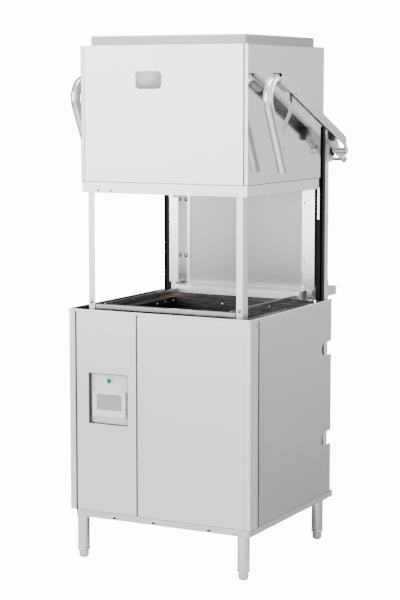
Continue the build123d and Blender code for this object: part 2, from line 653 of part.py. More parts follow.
def wash_arm(z, height):
    """A flat hollow arm with upright-facing jets and a round hub."""
    y = (-16, 16)
    arm = block((-ARM_REACH, ARM_REACH), y, (z, z + height)) + rod_z(26, 0, 0, (z, z + height))
    arm -= rod_z(SPINDLE + FIT, 0, 0, (z - 1, z + height + 1))
    for x in (60, 110, 160, 210):
        arm -= both_sides(block((x, x + 18), (-3, 3), (z + height - 2, z + height + 1)))
    return arm


def rinse_arm(z, height):
    """A slim tube across the wash arm."""
    arm = block((-7, 7), (-ARM_REACH + 10, ARM_REACH - 10), (z, z + height)) + rod_z(18, 0, 0, (z, z + height))
    return arm - rod_z(RINSE_SPINDLE + FIT, 0, 0, (z - 1, z + height + 1))


OUTLET_PIPE_Z = 560.0


def wash_manifold():
    """Pipes from the pump to the spindles under and over the rack."""
    riser_top = BAND_TOP - RISER_RADIUS
    up = pipe(RISER_RADIUS, 2, 30, (0, 166, OUTLET_PIPE_Z), (0, 290, OUTLET_PIPE_Z), (0, 290, 725), (0, 354, 725),
              (0, 354, riser_top), (0, 24, riser_top))
    hub = block((-20, 20), (-16, 24), (UPPER_ARM_Z + 10.5, riser_top + RISER_RADIUS))
    upper = rod_z(SPINDLE, 0, 0, (UPPER_ARM_Z - 0.5, UPPER_ARM_Z + 11))
    upper += rod_z(RINSE_SPINDLE, 0, 0, (UPPER_ARM_Z - 12, UPPER_ARM_Z))
    low = rod_z(15.9, 0, 0, (WELL_FLOOR - 40, LOWER_ARM_Z - 0.5))
    low += rod_z(SPINDLE, 0, 0, (LOWER_ARM_Z - 1, LOWER_ARM_Z + 23))
    low += rod_z(RINSE_SPINDLE, 0, 0, (LOWER_ARM_Z + 22, LOWER_ARM_Z + 40))
    return Compound([up.solid(), (hub + upper).solid(), low.solid()])


def strainer_pan():
    """Half of the slotted pan over the well, resting on the heater's level."""
    pan = block((18, WELL_HALF_WIDTH - 4), (WELL_FRONT + 4, WELL_BACK - 4), (704, 706))
    pan += block((18, WELL_HALF_WIDTH - 4), (WELL_FRONT + 4, WELL_FRONT + 6), (690, 706))
    pan += block((18, WELL_HALF_WIDTH - 4), (WELL_BACK - 6, WELL_BACK - 4), (690, 706))
    for x in range(40, 230, 30):
        for y in range(-220, 220, 55):
            pan -= block((x, x + 12), (y, y + 40), (703, 707))
    return pan


def tank_heater():
    element = bar(6, 30, (-170, WELL_FRONT + 8, 640), (-170, 200, 640), (170, 200, 640), (170, WELL_FRONT + 8, 640))
    plate = block((-190, 190), (WELL_FRONT + 2, WELL_FRONT + 8), (622, 658))
    return element + plate


def wash_pump():
    volute = rod_y(78, 0, (60, 130), 430) + rod_y(32, 0, (20, 60), 430)
    volute += block((-24, 24), (70, 166), (500, OUTLET_PIPE_Z + 20)) + rod_y(9, 0, (16.2, 80), OUTLET_PIPE_Z)
    suction = pipe(24, 2, 40, (0, 21, 430), (0, -90, 430), (0, -90, 599.5))
    return volute + suction


def pump_motor():
    motor = rod_y(68, 0, (131, 300), 430)
    motor += block((-40, 40), (180, 260), (490, 530))
    motor += block((-60, 60), (150, 280), (187, 196)) + block((-45, 45), (160, 270), (190, 380))
    return motor


HEATER_Y = 60.0
HEATER_RADIUS = 88.0


def booster_heater():
    x, y = INLET[0], HEATER_Y
    drum = rod_z(HEATER_RADIUS, x, y, (200, 470))
    drum = fillet(drum.edges().filter_by(GeomType.CIRCLE).sort_by(Axis.Z)[-1], 25)
    for angle in (30, 150, 270):
        drum += Pos(x, y, 193.5) * Rot(0, 0, angle) * block((60, 80), (-8, 8), (-7.5, 8))
    return drum


def fill_valve():
    """The inlet's solenoid valve, its pipe stub out of the back, and the pipe on to the heater."""
    x, z = INLET
    stub = rod_y(INLET_RADIUS, x, (300, 378), z)
    body = block((x - 24, x + 24), (250, 300), (z - 24, z + 24)) + rod_z(16, x, 275, (z + 24, z + 70))
    return stub + body + rod_y(10, x, (HEATER_Y + HEATER_RADIUS, 250), z)


def chemical_pump():
    """Two small dosing pumps side by side on one plate."""
    plate = block((150, 300), (-296, -293), (480, 640))
    for x in (190, 260):
        plate += rod_y(28, x, (-293, -255), 560) + rod_y(20, x, (-255, -200), 560)
    return plate


def drain_valve():
    """A ball valve under the well, with the waste pipe out of the back."""
    x, z = OUTLET
    body = rod_z(24, 150, 100, (540, WELL_FLOOR - 0.5)) + Pos(150, 100, 530) * Sphere(32)
    run = pipe(OUTLET_RADIUS - 2, 2.5, 40, (150, 100, 505), (150, 100, z), (x, 180, z), (x, OUTLET_Y[0] + 5, z))
    stub = rod_y(OUTLET_RADIUS, x, OUTLET_Y, z) - rod_y(OUTLET_RADIUS - 2.5, x, OUTLET_Y, z)
    stem = rod_y(6, 150, (60, 100), 530)
    return body + run + stub + stem


def drain_handle():
    """A flat lever on the ball valve's stem."""
    hub = rod_y(14, 150, (46, 59.7), 530)
    blade = block((150, 260), (48, 53), (521, 539))
    return hub + fillet(blade.edges().filter_by(Axis.Y), 6)


NODES["wash_manifold"] = wash_manifold()
NODES["lower_wash_arm"] = wash_arm(LOWER_ARM_Z, 20)
NODES["upper_wash_arm"] = wash_arm(UPPER_ARM_Z, 10)
NODES["lower_rinse_arm"] = rinse_arm(LOWER_ARM_Z + 24, 12)
NODES["upper_rinse_arm"] = rinse_arm(UPPER_ARM_Z - 9, 7)
NODES["strainer_pans"] = both_sides(strainer_pan())
NODES["tank_heater"] = tank_heater()
NODES["wash_pump"] = wash_pump()
NODES["pump_motor"] = pump_motor()
NODES["booster_heater"] = booster_heater()
NODES["fill_valve"] = fill_valve()
NODES["chemical_pump"] = chemical_pump()
NODES["drain_valve"] = drain_valve()
NODES["drain_handle"] = drain_handle()


# ---------------------------------------------------------------- screws
def screw_y(x, y, z, radius=4, height=3):
    """A dome head on a face that looks to the front."""
    return Pos(x, y - height / 2, z) * Rot(90, 0, 0) * bolt_head(radius, height)


def screw_x(x, y, z, radius=4, height=3):
    """A dome head on a face that looks to the right."""
    return Pos(x + height / 2, y, z) * Rot(0, 90, 0) * bolt_head(radius, height)


def panel_screws():
    heads = [screw_y(x, WELL_BACK - SKIN, 832, 6, 4) for x in (-56, 131)]
    heads += [screw_x(-WELL_HALF_WIDTH + SKIN, y, 836, 4.5) for y in (124, 184, 243)]
    heads += [screw_y(x, BACK_WALL_Y - 2, z, 5.5, 4) for x in (-240, 240) for z in (993, 1198)]
    heads += [screw_y(x, BAND_FRONT, BAND_BOTTOM + 8, 4, 0.5) for x in (-246, -198)]
    heads += [screw_x(HALF_WIDTH, CORNER_RETURN - 12, PANEL_TOP - 14)]
    heads += [screw_y(x, POST_Y, 884) for x in (-279, 279)]
    return Compound([head.solid() for head in heads])


NODES["panel_screws"] = panel_screws()


# ---------------------------------------------------------------- write the nodes
everything = Compound([solid for shape in NODES.values() for solid in shape.solids()])
box = everything.bounding_box()
origin_y = (box.min.Y + box.max.Y) / 2
os.makedirs("parts", exist_ok=True)
for name, shape in NODES.items():
    export_step(Pos(0, -origin_y, 0) * shape, f"parts/{name}.step")

print("nodes", len(NODES))
print("machine from", box.min, "to", box.max)
print("origin moved by", origin_y)
roller = (PIVOT_Y - LINK_Y, LINK_ROLLER_Z - PIVOT_Z)
for drop in (0, HOOD_TRAVEL / 2, HOOD_TRAVEL):
    height = roller[1] - drop
    reach = hypot(roller[0], height)
    print("lever tilt at drop", drop, degrees(atan2(height, roller[0]) - asin(LEVER_RISE / reach)))
print("hanger travel", 2 * HANGER_DROP)
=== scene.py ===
# %% [markdown]
# # A hood dishwasher, dressed for the studio
# The working model of the machine comes in first and stays exactly where it is. Everything
# after that is about looks: sheet steel with softly rounded folds, a polished grip, black
# plastic runners, coil springs, screws and the small control window. Each cell deals with one
# piece or one finish, and says why it is made that way.

# %% Load the fixed frame
import json
import math
import bmesh
import bpy
from mathutils import Matrix, Vector


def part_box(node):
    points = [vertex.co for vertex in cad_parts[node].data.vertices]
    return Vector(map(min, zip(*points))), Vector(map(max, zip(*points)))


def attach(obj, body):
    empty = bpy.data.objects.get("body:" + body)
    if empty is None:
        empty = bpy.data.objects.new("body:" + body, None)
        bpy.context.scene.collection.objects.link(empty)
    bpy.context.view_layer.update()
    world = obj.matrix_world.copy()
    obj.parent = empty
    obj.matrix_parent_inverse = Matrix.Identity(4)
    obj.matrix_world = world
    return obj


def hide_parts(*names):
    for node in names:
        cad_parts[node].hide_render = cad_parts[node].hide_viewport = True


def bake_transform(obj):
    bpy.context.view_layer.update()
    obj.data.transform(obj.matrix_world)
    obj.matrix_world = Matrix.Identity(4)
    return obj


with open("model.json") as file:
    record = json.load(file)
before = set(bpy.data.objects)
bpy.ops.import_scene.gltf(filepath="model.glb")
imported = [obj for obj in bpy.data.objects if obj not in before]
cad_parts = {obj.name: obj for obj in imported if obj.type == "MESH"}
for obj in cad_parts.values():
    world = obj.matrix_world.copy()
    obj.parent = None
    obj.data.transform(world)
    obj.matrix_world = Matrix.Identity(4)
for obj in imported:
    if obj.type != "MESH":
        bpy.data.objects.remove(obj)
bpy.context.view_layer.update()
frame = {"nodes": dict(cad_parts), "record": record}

MM = 0.001

# %% [markdown]
# The camera stands to the front right, a little under the height of the open hood, with a long
# lens so that the upright edges stay nearly parallel. Its place is given from the middle of
# the machine's floor, and its direction as a turn and a small downward tilt.

# %% Camera
CAMERA_PLACE = (2.768, -5.343, 1.600)
CAMERA_TURN = 27.74
CAMERA_TILT = -6.92
LENS = 104.5

camera_data = bpy.data.cameras.new("studio_camera")
camera_data.lens = LENS
camera_data.sensor_width = 36.0
camera_data.clip_end = 100.0
camera = bpy.data.objects.new("studio_camera", camera_data)
camera.location = CAMERA_PLACE
camera.rotation_euler = (math.radians(90.0 + CAMERA_TILT), 0.0, math.radians(CAMERA_TURN))
bpy.context.scene.collection.objects.link(camera)
bpy.context.scene.camera = camera

# %% [markdown]
# Steel has almost no colour of its own: it shows the room. So the room is made first. Where it
# is seen directly it is plain white. For everything else there are two walls: a bright one in
# front, and one behind that falls off towards the floor. Both grow dimmer towards the left. The
# side of the machine mirrors the wall behind, which gives it its slow change from light at the
# top to dark below.

# %% World
world = bpy.data.worlds.new("studio")
bpy.context.scene.world = world
world.use_nodes = True
tree = world.node_tree
tree.nodes.clear()


def room_ramp(direction, stops):
    """Room brightness along one direction; a stop is how far round (0 to 1) and how bright."""
    coords = tree.nodes.new("ShaderNodeTexCoord")
    along = tree.nodes.new("ShaderNodeVectorMath")
    along.operation = "DOT_PRODUCT"
    along.inputs[1].default_value = Vector(direction).normalized()
    half = tree.nodes.new("ShaderNodeMapRange")
    half.inputs["From Min"].default_value = -1.0
    ramp = tree.nodes.new("ShaderNodeValToRGB")
    ramp.color_ramp.elements[0].position = stops[0][0]
    ramp.color_ramp.elements[1].position = stops[-1][0]
    for place, _ in stops[1:-1]:
        ramp.color_ramp.elements.new(place)
    for element, (_, level) in zip(ramp.color_ramp.elements, stops):
        element.color = (level, level, level, 1.0)
    tree.links.new(coords.outputs["Generated"], along.inputs[0])
    tree.links.new(along.outputs["Value"], half.inputs["Value"])
    tree.links.new(half.outputs["Result"], ramp.inputs["Fac"])
    return ramp.outputs["Color"]


ROOM_LEVEL = 1.55
WHITE_LEVEL = 14.0
UP = (0.0, 0.0, 1.0)
TO_FRONT = (-0.46, -0.88, 0.0)
TO_LEFT = (-0.88, 0.46, 0.0)
front_wall = room_ramp(UP, ((0.0, 0.75), (0.40, 0.90), (0.50, 1.0), (1.0, 1.0)))
rear_wall = room_ramp(UP, ((0.0, 0.10), (0.38, 0.36), (0.46, 0.92), (0.51, 1.0), (1.0, 1.0)))
left_fade = room_ramp(TO_LEFT, ((0.0, 1.0), (0.40, 1.0), (0.47, 0.92), (0.60, 0.55), (1.0, 0.50)))
turn = room_ramp(TO_FRONT, ((0.0, 0.0), (0.30, 0.06), (0.66, 1.0), (1.0, 1.0)))
both = tree.nodes.new("ShaderNodeMixRGB")
fall_off = tree.nodes.new("ShaderNodeMixRGB")
fall_off.blend_type = "MULTIPLY"
fall_off.inputs["Fac"].default_value = 1.0
room = tree.nodes.new("ShaderNodeBackground")
room.inputs["Strength"].default_value = ROOM_LEVEL
backdrop = tree.nodes.new("ShaderNodeBackground")
backdrop.inputs["Color"].default_value = (1.0, 1.0, 1.0, 1.0)
backdrop.inputs["Strength"].default_value = WHITE_LEVEL
seen = tree.nodes.new("ShaderNodeLightPath")
mix = tree.nodes.new("ShaderNodeMixShader")
out = tree.nodes.new("ShaderNodeOutputWorld")
tree.links.new(turn, both.inputs["Fac"])
tree.links.new(rear_wall, both.inputs["Color1"])
tree.links.new(front_wall, both.inputs["Color2"])
tree.links.new(both.outputs["Color"], fall_off.inputs["Color1"])
tree.links.new(left_fade, fall_off.inputs["Color2"])
tree.links.new(fall_off.outputs["Color"], room.inputs["Color"])
tree.links.new(seen.outputs["Is Camera Ray"], mix.inputs["Fac"])
tree.links.new(room.outputs["Background"], mix.inputs[1])
tree.links.new(backdrop.outputs["Background"], mix.inputs[2])
tree.links.new(mix.outputs["Shader"], out.inputs["Surface"])

# %% [markdown]
# Three soft boxes do the modelling. They stand where the hood's faces mirror the camera, so
# the hood is lighter than the cabinet under it: one in front on the left, one behind on the
# right, and one overhead for the top edges.

# %% Soft boxes
def soft_box(name, place, aim, size, power):
    """A square area light at place, turned to face aim."""
    data = bpy.data.lights.new(name, "AREA")
    data.energy = power
    data.size = size
    lamp = bpy.data.objects.new(name, data)
    lamp.location = place
    lamp.rotation_euler = (Vector(aim) - Vector(place)).to_track_quat("-Z", "Y").to_euler()
    lamp.visible_camera = False
    bpy.context.scene.collection.objects.link(lamp)


soft_box("front_box", (-1.9, -3.6, 2.0), (0.0, -0.3, 1.4), 2.6, 110.0)
soft_box("back_box", (2.6, 2.2, 2.4), (0.3, 0.0, 1.5), 1.4, 26.0)
soft_box("top_box", (0.2, -0.6, 4.2), (0.0, 0.0, 1.0), 2.0, 60.0)

# %% [markdown]
# The floor is one pale disc, so the feet have something to stand on and the light has
# something to bounce from. Its colour is painted from pale in front to grey behind the machine:
# painted shade that stands in for the light falling off away from the main lamp.

# %% Floor
def finish_mesh(work, name, material=None, smooth=False):
    """Turn a bmesh into an object in the scene."""
    mesh = bpy.data.meshes.new(name)
    work.to_mesh(mesh)
    work.free()
    piece = bpy.data.objects.new(name, mesh)
    bpy.context.scene.collection.objects.link(piece)
    if material is not None:
        mesh.materials.append(material)
    for face in mesh.polygons:
        face.use_smooth = smooth
    return piece


FLOOR_RADIUS = 2.2
FADE_FROM, FADE_TO = -0.6, 0.5       # metres towards the front
# the floor's colour levels: painted shade behind the machine, pale in front
PAINTED_SHADE_BEHIND, GREY_IN_FRONT = 0.34, 0.90

floor_work = bmesh.new()
bmesh.ops.create_circle(floor_work, cap_ends=True, segments=96, radius=FLOOR_RADIUS)
floor = finish_mesh(floor_work, "studio_floor")
floor_paint = bpy.data.materials.new("floor_paint")
floor_paint.use_nodes = True
paint = floor_paint.node_tree
matt = paint.nodes["Principled BSDF"]
matt.inputs["Roughness"].default_value = 0.9
fade_place = paint.nodes.new("ShaderNodeTexCoord")
fade_along = paint.nodes.new("ShaderNodeVectorMath")
fade_along.operation = "DOT_PRODUCT"
fade_along.inputs[1].default_value = TO_FRONT
fade = paint.nodes.new("ShaderNodeMapRange")
fade.inputs["From Min"].default_value = FADE_FROM
fade.inputs["From Max"].default_value = FADE_TO
fade.inputs["To Min"].default_value = PAINTED_SHADE_BEHIND
fade.inputs["To Max"].default_value = GREY_IN_FRONT
paint.links.new(fade_place.outputs["Object"], fade_along.inputs[0])
paint.links.new(fade_along.outputs["Value"], fade.inputs["Value"])
paint.links.new(fade.outputs["Result"], matt.inputs["Base Color"])
glow = paint.nodes.new("ShaderNodeEmission")
glow.inputs["Strength"].default_value = WHITE_LEVEL
blend = paint.nodes.new("ShaderNodeMixShader")
path = paint.nodes.new("ShaderNodeLightPath")
paint.links.new(path.outputs["Is Camera Ray"], blend.inputs["Fac"])
paint.links.new(matt.outputs["BSDF"], blend.inputs[1])
paint.links.new(glow.outputs["Emission"], blend.inputs[2])
paint.links.new(blend.outputs["Shader"], paint.nodes["Material Output"].inputs["Surface"])
floor.data.materials.append(floor_paint)

# %% [markdown]
# ## Finishes
# Every finish starts from the same small kit: a Principled shader, a noise that is read in
# Object coordinates so it stays put on the piece, and a bump. Stretching the noise along one
# axis turns it into the fine lines that a belt leaves on sheet steel.

# %% Node helpers
def new_finish(name, color, roughness, metallic=0.0):
    """A material with its Principled shader set, and the two handed back together."""
    material = bpy.data.materials.new(name)
    material.use_nodes = True
    shader = material.node_tree.nodes["Principled BSDF"]
    shader.inputs["Base Color"].default_value = (*color, 1.0)
    shader.inputs["Roughness"].default_value = roughness
    shader.inputs["Metallic"].default_value = metallic
    return material, shader


def grain(material, scale, stretch=(1.0, 1.0, 1.0), detail=3.0):
    """A noise in Object coordinates, stretched by its scale along each axis."""
    nodes = material.node_tree.nodes
    links = material.node_tree.links
    place = nodes.new("ShaderNodeTexCoord")
    mapping = nodes.new("ShaderNodeMapping")
    mapping.inputs["Scale"].default_value = stretch
    noise = nodes.new("ShaderNodeTexNoise")
    noise.inputs["Scale"].default_value = scale
    noise.inputs["Detail"].default_value = detail
    links.new(place.outputs["Object"], mapping.inputs["Vector"])
    links.new(mapping.outputs["Vector"], noise.inputs["Vector"])
    return noise.outputs["Fac"]


def spread(material, value, low, high):
    """Map a 0 to 1 noise on to a narrow span of values."""
    node = material.node_tree.nodes.new("ShaderNodeMapRange")
    node.inputs["From Min"].default_value = 0.25
    node.inputs["From Max"].default_value = 0.75
    node.inputs["To Min"].default_value = low
    node.inputs["To Max"].default_value = high
    material.node_tree.links.new(value, node.inputs["Value"])
    return node.outputs["Result"]


def tint(material, value, dark, light):
    """Map a 0 to 1 noise on to a blend of two colours."""
    node = material.node_tree.nodes.new("ShaderNodeValToRGB")
    node.color_ramp.elements[0].position = 0.3
    node.color_ramp.elements[0].color = (*dark, 1.0)
    node.color_ramp.elements[1].position = 0.7
    node.color_ramp.elements[1].color = (*light, 1.0)
    material.node_tree.links.new(value, node.inputs["Fac"])
    return node.outputs["Color"]


def bump(material, shader, height, strength, distance):
    """Raise the surface by a height map."""
    node = material.node_tree.nodes.new("ShaderNodeBump")
    node.inputs["Strength"].default_value = strength
    node.inputs["Distance"].default_value = distance
    material.node_tree.links.new(height, node.inputs["Height"])
    material.node_tree.links.new(node.outputs["Normal"], shader.inputs["Normal"])

# %% [markdown]
# Brushed stainless is the machine's main finish. The lines are a noise squeezed across
# the brushing direction; they drive the roughness and a very shallow bump. A second, broad and
# soft noise varies the tone a little, as rolled sheet does.

# %% Brushed steel
HAIR_SCALE = 6.0
HAIR_DEPTH = 0.4 * MM
CLOUD_SCALE = 2.2
CLOUD_SHADE = 0.975


def brushed_steel(name, stretch, color=(0.83, 0.83, 0.825), rough=(0.36, 0.41), lines=0.04,
                  glance=1.0):
    """Brushed sheet; glance below 1 keeps a dark sheet dark where it is seen at a low angle."""
    material, shader = new_finish(name, color, sum(rough) / 2, 1.0)
    shader.inputs["Specular Tint"].default_value = (glance, glance, glance, 1.0)
    hairs = grain(material, HAIR_SCALE, stretch, 4.0)
    cloud = grain(material, CLOUD_SCALE, (1.0, 1.0, 1.0), 2.0)
    darker = tuple(part * CLOUD_SHADE for part in color)
    material.node_tree.links.new(tint(material, cloud, darker, color), shader.inputs["Base Color"])
    material.node_tree.links.new(spread(material, hairs, *rough), shader.inputs["Roughness"])
    bump(material, shader, hairs, lines, HAIR_DEPTH)
    return material


ACROSS = (1.0, 1.0, 90.0)       # lines run level
UPRIGHT = (70.0, 70.0, 1.0)     # lines run up and down

steel_level = brushed_steel("steel_level", ACROSS)
steel_upright = brushed_steel("steel_upright", UPRIGHT)
steel_hood_side = brushed_steel("steel_hood_side", UPRIGHT, (0.78, 0.78, 0.775), (0.10, 0.13), 0.012)
steel_cabinet_side = brushed_steel("steel_cabinet_side", UPRIGHT, (0.76, 0.76, 0.76), (0.20, 0.26), 0.02)
steel_wall = brushed_steel("steel_wall", UPRIGHT, (0.31, 0.305, 0.298), (0.26, 0.34), 0.03)
steel_crown = brushed_steel("steel_crown", ACROSS, (0.28, 0.28, 0.28), (0.30, 0.36))
steel_lever = brushed_steel("steel_lever", (2.0, 2.0, 60.0), (0.66, 0.66, 0.655), (0.24, 0.32))
steel_frame = brushed_steel("steel_frame", ACROSS, (0.74, 0.74, 0.74), (0.34, 0.44))
steel_tank = brushed_steel("steel_tank", ACROSS, (0.18, 0.162, 0.148), (0.18, 0.34), 0.04, 0.25)
steel_rail = brushed_steel("steel_rail", ACROSS, (0.46, 0.45, 0.44), (0.20, 0.30), 0.03, 0.6)
steel_bright = brushed_steel("steel_bright", (20.0, 20.0, 20.0), (0.86, 0.86, 0.85), (0.16, 0.24), 0.03)
steel_leg = brushed_steel("steel_leg", (30.0, 30.0, 4.0), (0.80, 0.80, 0.79), (0.10, 0.18), 0.02)
steel_polish = brushed_steel("steel_polish", (20.0, 20.0, 20.0), (0.95, 0.95, 0.945), (0.08, 0.12), 0.01)
steel_spring = brushed_steel("steel_spring", (40.0, 40.0, 40.0), (0.30, 0.30, 0.31), (0.30, 0.42), 0.05)

# %% [markdown]
# Along joints and sheet edges, dark lines of painted shade stand in for the shade in the gaps,
# and light lines of painted highlight stand in for a fold catching light. Both are lines at fixed
# places on a sheet, so they are worked out from one Object coordinate and multiplied into the colour.

# %% Painted shade and highlight lines
def paint_shade_and_highlight_lines(material, lines):
    """Each line is (axis name, place, half width, level): below 1 paints shade, above 1 paints a
    highlight.
    """
    nodes = material.node_tree.nodes
    links = material.node_tree.links
    shader = nodes["Principled BSDF"]
    color = shader.inputs["Base Color"].links[0].from_socket
    place = nodes.new("ShaderNodeTexCoord")
    parts = nodes.new("ShaderNodeSeparateXYZ")
    links.new(place.outputs["Object"], parts.inputs["Vector"])
    for axis, at, half_width, level in lines:
        away = nodes.new("ShaderNodeMath")
        away.operation = "SUBTRACT"
        away.inputs[1].default_value = at
        size = nodes.new("ShaderNodeMath")
        size.operation = "ABSOLUTE"
        fade = nodes.new("ShaderNodeMapRange")
        fade.inputs["From Min"].default_value = half_width * 0.6
        fade.inputs["From Max"].default_value = half_width * 1.3
        fade.inputs["To Min"].default_value = level
        fade.inputs["To Max"].default_value = 1.0
        product = nodes.new("ShaderNodeMixRGB")
        product.blend_type = "MULTIPLY"
        product.inputs["Fac"].default_value = 1.0
        links.new(parts.outputs[axis], away.inputs[0])
        links.new(away.outputs["Value"], size.inputs[0])
        links.new(size.outputs["Value"], fade.inputs["Value"])
        links.new(color, product.inputs["Color1"])
        links.new(fade.outputs["Result"], product.inputs["Color2"])
        color = product.outputs["Color"]
    links.new(color, shader.inputs["Base Color"])


hood_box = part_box("hood_front")
hood_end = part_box("hood_sides")
window_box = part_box("control_panel")
door_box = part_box("front_panel")
flank_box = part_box("right_side_panel")
crown_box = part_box("hood_top")
SEAM_FROM_EDGE = 14.0 * MM
seam_x = hood_box[1][0] - SEAM_FROM_EDGE

steel_hood_front = brushed_steel("steel_hood_front", ACROSS)
# painted shade at the seams, the left edge and the lower edge; a painted highlight beside the seam
paint_shade_and_highlight_lines(steel_hood_front, [
    ("X", seam_x, 2.6 * MM, 0.03),
    ("X", seam_x - 5.5 * MM, 2.2 * MM, 1.12),
    ("X", -seam_x, 1.7 * MM, 0.25),
    ("X", hood_box[0][0] + 1.5 * MM, 1.5 * MM, 0.2),
    ("Z", hood_box[0][2] + 1.2 * MM, 1.6 * MM, 0.25),
])
# painted shade along the lower and top edges; a painted highlight near the front edge
paint_shade_and_highlight_lines(steel_hood_side, [
    ("Z", hood_end[0][2] + 1.2 * MM, 1.6 * MM, 0.25),
    ("Y", hood_end[0][1] + 6.0 * MM, 4.0 * MM, 1.1),
    ("Z", hood_end[1][2] - 1.0 * MM, 1.5 * MM, 0.5),
])
# a painted highlight along the top edge
paint_shade_and_highlight_lines(steel_crown, [("Z", crown_box[1][2] - 1.5 * MM, 1.6 * MM, 1.9)])

steel_door = brushed_steel("steel_door", UPRIGHT)
# painted shade at the left edge, beside the window and along the bottom; painted highlights beside the
# window, along the top and near the right edge
paint_shade_and_highlight_lines(steel_door, [
    ("X", door_box[0][0] + 1.2 * MM, 2.2 * MM, 0.12),
    ("X", window_box[1][0] - 2.5 * MM, 1.6 * MM, 1.15),
    ("X", window_box[0][0] + 1.8 * MM, 2.6 * MM, 0.06),
    ("Z", door_box[0][2] + 1.0 * MM, 1.4 * MM, 0.45),
    ("Z", door_box[1][2] - 1.0 * MM, 1.4 * MM, 1.15),
    ("X", door_box[1][0] - 9.0 * MM, 3.0 * MM, 1.12),
])
# painted shade at the front edge and along the bottom; a painted highlight along the top
paint_shade_and_highlight_lines(steel_cabinet_side, [
    ("Y", flank_box[0][1] + 2.0 * MM, 4.0 * MM, 0.04),
    ("Z", flank_box[0][2] + 1.0 * MM, 1.4 * MM, 0.45),
    ("Z", flank_box[1][2] - 1.5 * MM, 1.5 * MM, 1.25),
])
print("hood seam at", round(seam_x, 4))

# %% [markdown]
# The plastics differ mostly in colour and gloss. Moulded parts get a fine spark-eroded
# texture; the runners are machined from sheet, so their noise is drawn out along their length.

# %% Plastics, paint and castings
PIT_DEPTH = 0.3 * MM


def moulded(name, color, roughness, texture=0.06, scale=900.0, stretch=(1.0, 1.0, 1.0)):
    """A plastic, paint or casting with a fine pitted texture."""
    material, shader = new_finish(name, color, roughness)
    pits = grain(material, scale, stretch, 2.0)
    lighter = tuple(min(1.0, part * 1.06 + 0.004) for part in color)
    material.node_tree.links.new(tint(material, pits, color, lighter), shader.inputs["Base Color"])
    bump(material, shader, pits, texture, PIT_DEPTH)
    return material


black_runner = moulded("black_runner", (0.003, 0.003, 0.003), 0.35, 0.05, 60.0, (3.0, 3.0, 0.3))
runner_shader = black_runner.node_tree.nodes["Principled BSDF"]
runner_shader.inputs["Specular IOR Level"].default_value = 0.12
black_rubber = moulded("black_rubber", (0.014, 0.014, 0.014), 0.65, 0.15)
tray_plastic = moulded("tray_plastic", (0.80, 0.81, 0.82), 0.45)
bezel_plastic = moulded("bezel_plastic", (0.86, 0.87, 0.88), 0.28, 0.04)
screen_plastic = moulded("screen_plastic", (0.34, 0.36, 0.39), 0.30, 0.01)
grey_enamel = moulded("grey_enamel", (0.30, 0.32, 0.35), 0.35, 0.10, 250.0)
cast_body = moulded("cast_body", (0.10, 0.11, 0.12), 0.55, 0.35, 220.0)
button_lens = moulded("button_lens", (0.0, 0.13, 0.03), 0.35, 0.02)
# near black: painted shade for the inner walls of the control window
shade_lining_plastic = moulded("shade_lining_plastic", (0.035, 0.033, 0.032), 0.5)
brass_plain = brushed_steel("brass_plain", (30.0, 30.0, 30.0), (0.72, 0.53, 0.24), (0.25, 0.38), 0.05)
lens_shader = button_lens.node_tree.nodes["Principled BSDF"]
# a faint green glow of its own: painted light that makes the lens look lit
lens_shader.inputs["Emission Color"].default_value = (0.0, 0.6, 0.12, 1.0)
lens_shader.inputs["Emission Strength"].default_value = 0.3
lens_shader.inputs["Specular IOR Level"].default_value = 0.15

# %% [markdown]
# ## Dressing the sheet metal
# A folded sheet never has a knife edge: each fold has a small radius that catches a line of
# light. The working model leaves these out, so each visible sheet is copied, its loose
# triangles are welded into faces, and a Bevel modifier rounds the edges. The copy stands in
# for the original, and rides on the same body.

# %% The dressing function
RECORD = frame["record"]
BODY_OF = {node: body for body, nodes in RECORD["behaviour"]["bodies"].items() for node in nodes}
SLOT_OF = {part["node"]: part["material_slot"] for part in RECORD["subparts"]}
WELD = 0.02 * MM


def dress(node, radius, material):
    """A welded copy of a node with its edges rounded."""
    work = bmesh.new()
    work.from_mesh(frame["nodes"][node].data)
    bmesh.ops.remove_doubles(work, verts=work.verts, dist=WELD)
    bmesh.ops.dissolve_limit(work, angle_limit=math.radians(1.0), verts=work.verts,
                             edges=work.edges, use_dissolve_boundaries=False)
    piece = finish_mesh(work, node + "_dressed", material, True)
    edges = piece.modifiers.new("rounded_edges", "BEVEL")
    edges.width = radius
    edges.segments = 2
    edges.limit_method = "ANGLE"
    edges.angle_limit = math.radians(35.0)
    flats = piece.modifiers.new("flat_faces_stay_flat", "WEIGHTED_NORMAL")
    flats.weight = 100
    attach(piece, BODY_OF[node])
    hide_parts(node)


# each sheet's edge radius in millimetres, and its finish
DRESSED = {
    "hood_front": (0.35, steel_hood_front), "hood_sides": (0.5, steel_hood_side),
    "hood_top": (0.5, steel_crown), "header_band": (0.6, steel_level),
    "front_posts": (0.6, steel_upright), "back_wall": (0.5, steel_wall),
    "rear_inner_posts": (0.6, steel_bright), "rear_uprights": (0.8, steel_upright),
    "tank_rim": (1.6, steel_level), "rear_ledge": (0.6, steel_level), "rack_rails": (0.5, steel_rail),
    "front_panel": (0.6, steel_door), "control_panel": (0.6, steel_door),
    "left_side_panel": (0.6, steel_upright), "right_side_panel": (0.6, steel_cabinet_side),
    "rear_panel": (0.6, steel_upright), "base_frame": (0.4, steel_frame), "wash_tank": (0.6, steel_tank),
    "hood_guides": (0.8, black_runner), "lever_bars": (0.6, steel_lever),
    "lever_brackets": (0.8, steel_level), "control_recess": (0.5, tray_plastic),
    "display_bezel": (0.8, bezel_plastic), "display_screen": (0.4, screen_plastic),
    "lift_links": (0.5, steel_bright),
}
for node, (radius, material) in DRESSED.items():
    dress(node, radius * MM, material)
print("dressed", len(DRESSED), "nodes")

# %% [markdown]
# The round pieces, and those that only show from behind or below, keep their own meshes and
# only take a finish.

